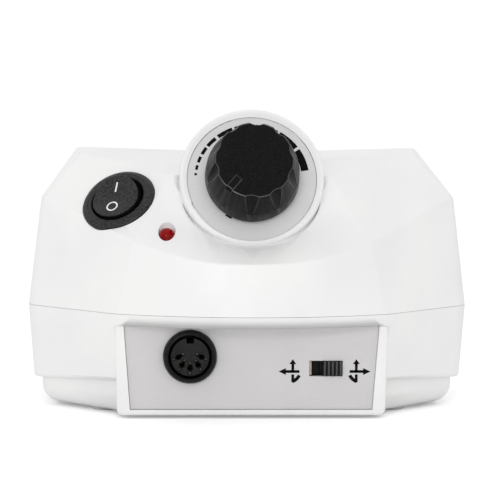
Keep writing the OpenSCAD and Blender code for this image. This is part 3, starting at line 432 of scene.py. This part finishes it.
# %% Shells
for name in ("top_shell", "bottom_shell"):
    skin = show(name + "_skin", skin_of(name, 0.2, 0.002), IDENTITY, "case", white_abs, sharp_deg=38,
                stands_for=[name])
    even = skin.modifiers.new("even_shade", "WEIGHTED_NORMAL")
    even.keep_sharp = True
    even.weight = 80

# %% [markdown]
# ## The speed knob
#
# The knob is one moulding: a smooth skirt, a tapered side with narrow scoops for the fingers and a raised
# pointer rib. The CAD model cuts the scoops, so the knob is a skin of it, and a small bevel rounds the
# edges as the mould does. The bevel has a finish of its own, a little paler and glossier than the rest:
# the paler grey is a painted highlight along the edges. Each edge carries a weight: the rim of the top
# gets the widest bevel and so the widest painted highlight, the edges of the scoops much narrower ones.

# %% Speed knob
EDGE_DEG = 15
# Bevel weights: they set how wide the bevel, and so its painted highlight, is on each edge.
RIM_WEIGHT = 1.0
SCOOP_WEIGHT = 0.35
knob_bm = skin_of("speed_knob")
upward = [face for face in knob_bm.faces if face.normal.z > 0.3]
KNOB_UP = max(upward, key=lambda face: face.calc_area()).normal.copy()
weight = knob_bm.edges.layers.float.new("bevel_weight_edge")
for edge in knob_bm.edges:
    if len(edge.link_faces) == 2 and edge.calc_face_angle(0) > radians(EDGE_DEG):
        on_top = any(face.normal.dot(KNOB_UP) > 0.95 for face in edge.link_faces)
        edge[weight] = RIM_WEIGHT if on_top else SCOOP_WEIGHT
# The bevel faces take the paler finish, a painted highlight.
knob = show("speed_knob_skin", knob_bm, IDENTITY, "knob", knob_black, round_mm=0.14,
            stands_for=["speed_knob"], edge_finish=painted_highlight_black)
knob.modifiers["soft_edges"].limit_method = "WEIGHT"
print("knob faces along", [round(x, 2) for x in KNOB_UP])

# %% [markdown]
# ## The dial scale
#
# The scale is printed on the plate: dashes on a circle that grow wider clockwise, from a dot to a broad
# bar, and a short mark under the knob's edge for the off place. Each dash is an edge that spins through
# its angle, and then its inner side is pulled in. The ink is solid, 0.04 mm thick, so that it also shows
# in the exported mesh.

# %% Printed scale
DASHES = [(174, 176.4), (165.4, 170.4), (155.6, 162.2), (144.3, 152.6), (130.3, 141.9), (110, 127),
          (88, 107.5), (62, 85.5), (36.5, 59.5), (9.4, 33.5)]
SCALE_R = 17.65
OFF_MARK = (235, 243.4)
OFF_R = 14.4
OFF_WIDTH = 2.0
INK = 0.04


def band_width(angle):
    return 0.75 + 1.6 * (175 - angle) / 166


def dash(bm, start, end, outer, width):
    inner_point = bm.verts.new(((outer - 1) * cos(radians(start)), (outer - 1) * sin(radians(start)), 0))
    outer_point = bm.verts.new((outer * cos(radians(start)), outer * sin(radians(start)), 0))
    edge = bm.edges.new((inner_point, outer_point))
    bmesh.ops.spin(bm, geom=[inner_point, outer_point, edge], cent=(0, 0, 0), axis=(0, 0, 1),
                   angle=radians(end - start), steps=max(2, int((end - start) / 2)))
    for v in bm.verts:
        r = hypot(v.co.x, v.co.y)
        angle = atan2(v.co.y, v.co.x) * 180 / pi % 360
        if start - 0.1 < angle < end + 0.1 and abs(r - outer + 1) < 0.01:
            v.co *= (outer - width(angle)) / r


def inked(bm, lift=0.02):
    bmesh.ops.recalc_face_normals(bm, faces=bm.faces)
    bmesh.ops.solidify(bm, geom=bm.faces[:], thickness=INK)
    bmesh.ops.recalc_face_normals(bm, faces=bm.faces)
    lowest = min(v.co.z for v in bm.verts)
    bmesh.ops.translate(bm, verts=bm.verts, vec=(0, 0, lift - INK - lowest))
    return bm


bm = bmesh.new()
for start, end in DASHES:
    dash(bm, start, end, SCALE_R, band_width)
dash(bm, *OFF_MARK, OFF_R, lambda angle: OFF_WIDTH)
show("dial_scale", inked(bm, 0.05), AT_DIAL, "case", black_ink)

# %% [markdown]
# ## The power rocker
#
# The rocker sits in a round bezel whose ring rises to a thin inner lip. The button is a round paddle with
# a shallow valley across the middle: the dished end is pressed, the other stands proud. Both are turned,
# and the valley is made by lifting the top of the paddle with the distance from its hinge line. Only the
# top has the eroded grain. The sides and the hinge pin get the darker plain satin black, as painted shade
# on the side wall that stands in the shadow of the bezel.

# %% Bezel and button
LIP = [(9.0, 0.4), (8.5, 0.9), (8.5, 1.6), (8.65, 1.85), (9.0, 1.95), (9.35, 1.8), (9.6, 1.75)]
RING = [(10.0, 1.85), (11.2, 1.4), (11.6, 0.9), (11.75, 0.45), (11.75, 0)]
bezel = turned([(0, -11), (9.0, -11)] + LIP + RING + [(10.3, 0), (10.3, -14), (0, -14)])
show("rocker_bezel", bezel, AT_ROCKER, "case", charcoal, stands_for=["rocker_housing"])

PADDLE_R = 7.5
PADDLE_DIP = 3.9
PADDLE_RISE = 1.4
VALLEY_ROUND = 0.8
FACE_R = 7.2
FACE_STEPS = 12
PIN_R = 1.2
PIN_L = 20


def paddle_lift(y):
    return PADDLE_DIP + PADDLE_RISE * hypot(y, VALLEY_ROUND) / PADDLE_R


side = [(0, -5), (7.1, -5), (PADDLE_R, -4.6), (PADDLE_R, -0.5), (7.42, -0.2), (FACE_R, 0)]
top = [(FACE_R * (1 - k / FACE_STEPS), 0) for k in range(1, FACE_STEPS + 1)]
paddle = turned(side + top)
for v in paddle.verts:
    if v.co.z > -0.9:
        v.co.z += paddle_lift(v.co.y)
bmesh.ops.create_cone(paddle, cap_ends=True, segments=32, radius1=PIN_R, radius2=PIN_R, depth=PIN_L,
                      matrix=Matrix.Rotation(radians(90), 4, "Y"))
button = show("rocker_paddle", paddle, AT_BUTTON, "rocker", charcoal,
              stands_for=["rocker_button"])
outward = (AT_BUTTON.to_3x3() @ Vector((0, 0, 1))).normalized()
ABOVE_PIN = AT_BUTTON @ Vector((0, 0, PIN_R + 0.3))
# Painted shade: the side wall and the pin take the darker satin black.
second_finish(button, satin_black, lambda face: (
    face.normal.dot(outward) < 0.7 or (face.center - ABOVE_PIN).dot(outward) < 0))

# %% [markdown]
# ## The marks on the rocker
#
# A line and a ring are printed in white, on for the line and off for the ring. They follow the dished
# top, so each starts flat and is lifted by the same rule as the paddle.

# %% Line and ring
bm = bmesh.new()
OFF_AT = (0.1, -3.5, 0)
ON_AT = (-0.45, 3.4, 0)
circle = bmesh.ops.create_circle(bm, cap_ends=False, radius=1.85, segments=40)["verts"]
rim = list({e for v in circle for e in v.link_edges})
inner = verts_in(bmesh.ops.extrude_edge_only(bm, edges=rim)["geom"])
bmesh.ops.scale(bm, verts=inner, vec=(0.74, 0.74, 1))
bmesh.ops.translate(bm, verts=bm.verts, vec=OFF_AT)
bmesh.ops.create_grid(bm, x_segments=2, y_segments=10, size=0.5, matrix=(
    Matrix.Translation(ON_AT) @ Matrix.Diagonal((0.5, 3.1, 1, 1))))
inked(bm, 0.03)
for v in bm.verts:
    v.co.z += paddle_lift(v.co.y)
show("rocker_marks", bm, AT_BUTTON, "rocker", white_ink)

# %% [markdown]
# ## The lamp
#
# The dome is half a ball on a short cylinder with a rim at its foot, so it is turned from one profile.

# %% Lamp dome
LAMP_R = 2.5
RIM_R = 2.9
dome = [(LAMP_R * cos(radians(a)), LAMP_R * sin(radians(a)) - LAMP_R) for a in range(0, 91, 9)]
lamp = turned([(0, -8.6), (RIM_R, -8.6), (RIM_R, -7.75), (LAMP_R, -7.75)] + dome, 48)
show("lamp_dome", lamp, AT_LAMP, "case", red_epoxy, stands_for=["power_led"])

# %% [markdown]
# ## The handpiece socket
#
# The socket is a black ring with a rounded rim round a charcoal insert. The insert has five round holes
# with radial slots, and the sprung tinned leaves show as glints at the ends of the slots.

# %% Socket ring, insert and leaves
ring = turned([(6.6, -14), (6.6, 2.4), (6.75, 2.8), (7.1, 3.0), (7.45, 2.9), (7.9, 2.3), (8.15, 1.7),
               (8.25, 1.1), (8.25, 0), (7.2, 0), (7.2, -14), (6.6, -14)])
show("socket_ring", ring, AT_SOCKET, "case", satin_black, stands_for=["socket_shell"])
show("socket_insert_skin", skin_of("socket_insert"), IDENTITY, "case", fine_grey,
     round_mm=0.1, stands_for=["socket_insert"])
HOLE_CIRCLE_R = 3.5
FAN_Y = 2.1
LEAF_END = 1.55
LEAF = (0.36, 0.26, 1.2, 1)
bm = bmesh.new()
for angle in range(180, 361, 45):
    hole = Vector((HOLE_CIRCLE_R * cos(radians(angle)), HOLE_CIRCLE_R * sin(radians(angle)), 0.4))
    fan = Matrix.Rotation(atan2(hole.y - FAN_Y, hole.x), 4, "Z")
    for end in (-LEAF_END, LEAF_END):
        bmesh.ops.create_cube(bm, size=1, matrix=(
            Matrix.Translation(hole) @ fan @ Matrix.Translation((end, 0, 0)) @ Matrix.Diagonal(LEAF)))
show("socket_leaves", bm, AT_SOCKET, "case", tinned, round_mm=0.06)

# %% [markdown]
# ## The direction switch and the arrows
#
# The slider has a ridged grip, which the CAD model gives; a small bevel catches the light on its ridges,
# and the ridge tops get a paler grey finish as a painted highlight.
# A plated leaf shows at the free end of the slot. On both sides of the slot an arrow pair is printed: one
# arrow points up, one points away from the switch, and a hook below shows the turn.

# %% Slider and leaf
grip = show("direction_grip", skin_of("direction_slider"), IDENTITY, "direction",
            satin_black, round_mm=0.08, stands_for=["direction_slider"])
outer_y = min(face.center.y for face in grip.data.polygons)
# Painted highlight: the ridge tops, the outermost faces, take the paler grey finish.
second_finish(grip, painted_highlight_black, lambda face: face.center.y < outer_y + 0.1 * MM)
bm = bmesh.new()
bmesh.ops.create_cube(bm, size=1, matrix=(
    Matrix.Translation((18.15, 15.5, -0.7)) @ Matrix.Diagonal((0.6, 4.2, 0.5, 1))))
show("switch_leaf", bm, AT_FRONT, "case", tinned, round_mm=0.1)

# %% Printed arrows
ARROW = (12.65, 14.47)
MIRROR_X = 22.4
LINE = 0.42
HEAD = 1.05


def bar(bm, low_x, low_y, high_x, high_y):
    bmesh.ops.create_grid(bm, x_segments=1, y_segments=1, size=0.5, matrix=(
        Matrix.Translation(((low_x + high_x) / 2, (low_y + high_y) / 2, 0))
        @ Matrix.Diagonal((high_x - low_x, high_y - low_y, 1, 1))))


def arrow_head(bm, x, y, turn, length, half):
    bmesh.ops.create_circle(bm, cap_ends=True, radius=1, segments=3, matrix=(
        Matrix.Translation((x, y, 0)) @ Matrix.Rotation(radians(turn), 4, "Z")
        @ Matrix.Diagonal((half / 0.866, length / 1.5, 1, 1)) @ Matrix.Translation((0, -1, 0))))


bm = bmesh.new()
x, y = ARROW
arrow_head(bm, x, y + 3.8, 0, 1.5, HEAD)
bar(bm, x - LINE, y - 0.2, x + LINE, y + 2.5)
arrow_head(bm, x - 4.33, y, 90, 2.2, HEAD)
bar(bm, x - 2.4, y - LINE, x + 2.05, y + LINE)
bar(bm, x - LINE, y - 3.3, x + LINE, y - 0.9)
hook = Vector((x - 1.6, y + 0.6, 0))
start = Vector((cos(radians(-26)), sin(radians(-26)), 0))
ends = [bm.verts.new(hook + start * reach) for reach in (3.5, 4.5)]
bmesh.ops.spin(bm, geom=ends + [bm.edges.new(ends)], cent=hook, axis=(0, 0, 1), angle=radians(-42), steps=8)
inked(bm, 0.03)
twin = bmesh.ops.duplicate(bm, geom=bm.verts[:] + bm.edges[:] + bm.faces[:])["geom"]
bmesh.ops.scale(bm, verts=verts_in(twin), vec=(-1, 1, 1), space=Matrix.Translation((-MIRROR_X, 0, 0)))
bmesh.ops.recalc_face_normals(bm, faces=bm.faces)
show("direction_arrows", bm, AT_FRONT, "case", black_ink)

# %% [markdown]
# ## Feet, screws and rear fittings
#
# Rubber feet have a rounded lower edge. The case screws sit deep in the base, and their heads have a
# cross recess. The fittings on the back are skins of the CAD pieces with small bevels, each as large as
# its mould or tool leaves.

# %% Feet and screws
FOOT_X = 44.5
FEET = [(x, PANEL_Y + back) for x in (-FOOT_X, FOOT_X) for back in (23, 87)]
foot = turned([(0, 0), (4.5, 0), (4.85, 0.15), (5, 0.5), (5, 1), (0, 1)], 48)
show("rubber_feet_round", repeated(foot, [(x, y, 0) for x, y in FEET]), AT_FLOOR, "case",
     soft_rubber, stands_for=["rubber_feet"])

SCREW_X = 52
SCREWS = [(x, PANEL_Y + back) for x in (-SCREW_X, SCREW_X) for back in (37, 76)]
HEAD_END = 3.1
CROSS = 1.5
CROSS_HALF_SLOT = 0.35
CROSS_DEEP = 1.1
RINGS = [(2.35, 0), (2.7, 0.15), (2.85, 0.5), (2.85, 2.4), (1.5, 2.4), (1.5, 27.6), (0.9, 28.1)]


def cross_screw(bm):
    plate = bmesh.ops.create_grid(bm, x_segments=3, y_segments=3, size=CROSS)["verts"]
    for v in plate:
        v.co.x, v.co.y = (CROSS_HALF_SLOT * c / abs(c) if abs(c) < 1 else c for c in v.co.xy)
    cross = [f for f in bm.faces if min(abs(c) for c in f.calc_center_median().xy) < 0.1]
    bottom = bmesh.ops.extrude_face_region(bm, geom=cross)["geom"]
    bmesh.ops.translate(bm, verts=verts_in(bottom), vec=(0, 0, CROSS_DEEP))
    bmesh.ops.delete(bm, geom=cross, context="FACES")
    bmesh.ops.subdivide_edges(bm, edges=[e for e in bm.edges if e.is_boundary], cuts=3)
    edge = [e for e in bm.edges if e.is_boundary]
    for radius, rise in RINGS:
        drawn = bmesh.ops.extrude_edge_only(bm, edges=edge)["geom"]
        for v in verts_in(drawn):
            v.co = Vector((v.co.x, v.co.y, 0)).normalized() * radius + Vector((0, 0, rise))
        edge = [g for g in drawn if isinstance(g, bmesh.types.BMEdge)]
    bmesh.ops.holes_fill(bm, edges=edge)
    bmesh.ops.recalc_face_normals(bm, faces=bm.faces)


screw = bmesh.new()
cross_screw(screw)
show("case_screw_set", repeated(screw, [(x, y, HEAD_END) for x, y in SCREWS]), AT_FLOOR, "case",
     nickel, stands_for=["case_screws"])

# %% Rear fittings
for name, slot, finish, soft in [
        ("mains_inlet", "black_plastic", satin_black, 0.3),
        ("fuse_holder", "black_plastic", satin_black, 0.3),
        ("pedal_jack", "charcoal_plastic", charcoal, 0.25),
        ("jack_nut", "steel", nickel, 0.25),
        ("inlet_pins", "steel", nickel, 0.5)]:
    show(name + "_soft", skin_of(name), IDENTITY, "case", finish, round_mm=soft, stands_for=[name])
show("fuse_cap_soft", skin_of("fuse_cap"), IDENTITY, "fuse_cap", charcoal, round_mm=0.3,
     stands_for=["fuse_cap"])
grip = show("mode_grip", skin_of("mode_slider"), IDENTITY, "mode", satin_black,
            round_mm=0.08, stands_for=["mode_slider"])
outer_y = max(face.center.y for face in grip.data.polygons)
# Painted highlight: the ridge tops, the outermost faces, take the paler grey finish.
second_finish(grip, painted_highlight_black, lambda face: face.center.y > outer_y - 0.1 * MM)

# %% [markdown]
# ## Pieces that stay as the CAD model has them
#
# The panels, the dial plate and everything inside have the right shape already. They only need their
# finish, and the record says which slot each of them takes.

# %% Finishes of the other CAD pieces
SLOT_FINISH = {
    "shell": white_abs, "panel": panel_ink, "dial_plate": dial_ink, "rubber": soft_rubber,
    "knob": knob_black, "black_plastic": satin_black, "charcoal_plastic": charcoal, "lamp": red_epoxy,
    "steel": nickel, "brass": brass, "ivory_plastic": nylon, "fuse_glass": fuse_glass, "board": mask_green,
    "sleeve": sleeve_blue, "aluminium": aluminium, "lamination": lamination, "copper": wire}
for entry in frame["record"]["subparts"]:
    materials = nodes[entry["node"]].data.materials
    materials.clear()
    materials.append(SLOT_FINISH[entry["material_slot"]])
# The contacts get the darkened brass: painted shade deep in the holes.
nodes["socket_contacts"].data.materials[0] = painted_shade_brass

# %% [markdown]
# ## Floor, light and camera
#
# The box stands on a white floor in even studio light: a large soft lamp in front, one straight above,
# and a small one on the left that puts a glint on the black plastic and the red lamp. The world is white
# where the camera, a reflection or glass looks at it, and a softer grey as a lamp, so that the lamps
# shape the white plastic without bleaching it. The camera has a long lens, a little to the left of the
# middle and slightly above.

# %% Floor
FLOOR_LIFT = 0.25
bm = bmesh.new()
bmesh.ops.create_grid(bm, x_segments=1, y_segments=1, size=6)
mesh = bpy.data.meshes.new("studio_floor")
bm.to_mesh(mesh)
bm.free()
floor = bpy.data.objects.new("studio_floor", mesh)
bpy.context.scene.collection.objects.link(floor)
floor_white, shader, where = new_finish("floor_white")
seen = add(floor_white, "ShaderNodeLightPath", {}).outputs["Is Camera Ray"]
lift = add(floor_white, "ShaderNodeMath", {0: seen, 1: FLOOR_LIFT}, operation="MULTIPLY")
feed(floor_white, shader, Base_Color=colour("#ffffff"), Roughness=0.9, Specular_IOR_Level=0.0,
     Emission_Color=colour("#ffffff"), Emission_Strength=lift.outputs["Value"])
mesh.materials.append(floor_white)

# %% World and lamps
WORLD_AS_LAMP = 0.78
WORLD_AS_SEEN = 1.0
LAMPS_AIM = Vector((0, 0, 0.04))
world = bpy.data.worlds.new("studio")
bpy.context.scene.world = world
world.use_nodes = True
sky = world.node_tree.nodes["Background"]
path = add(world, "ShaderNodeLightPath", {})
seen = add(world, "ShaderNodeMath", {0: path.outputs["Is Camera Ray"], 1: path.outputs["Is Glossy Ray"]},
           operation="MAXIMUM")
clear = add(world, "ShaderNodeMath", {0: seen.outputs["Value"], 1: path.outputs["Is Transmission Ray"]},
            operation="MAXIMUM")
level = add(world, "ShaderNodeMapRange", {
    "Value": clear.outputs["Value"], "To Min": WORLD_AS_LAMP, "To Max": WORLD_AS_SEEN})
world.node_tree.links.new(level.outputs["Result"], sky.inputs["Strength"])
sky.inputs["Color"].default_value = (1, 1, 1, 1)


def soft_lamp(name, at, size, watts):
    lamp = bpy.data.objects.new(name, bpy.data.lights.new(name, "AREA"))
    lamp.data.size = size
    lamp.data.energy = watts
    lamp.location = at
    lamp.rotation_euler = (LAMPS_AIM - Vector(at)).to_track_quat("-Z", "Y").to_euler()
    bpy.context.scene.collection.objects.link(lamp)


soft_lamp("front_lamp", (-0.15, -1.6, 0.2), 1.4, 2.6)
soft_lamp("top_lamp", (-0.1, -0.2, 1.6), 1.6, 2.0)
soft_lamp("glint_lamp", (-0.25, -1.2, 0.42), 0.2, 1.5)

# %% Camera
view_from = bpy.data.objects.new("photo_camera", bpy.data.cameras.new("photo_camera"))
view_from.data.sensor_width = 36
view_from.data.lens = 188.86
view_from.data.clip_end = 50
view_from.location = (-0.03561, -0.84031, 0.11577)
view_from.rotation_euler = (radians(90 - 4.591), radians(-0.334), radians(-2.485))
bpy.context.scene.collection.objects.link(view_from)
bpy.context.scene.camera = view_from
bpy.context.scene.view_settings.view_transform = "Standard"
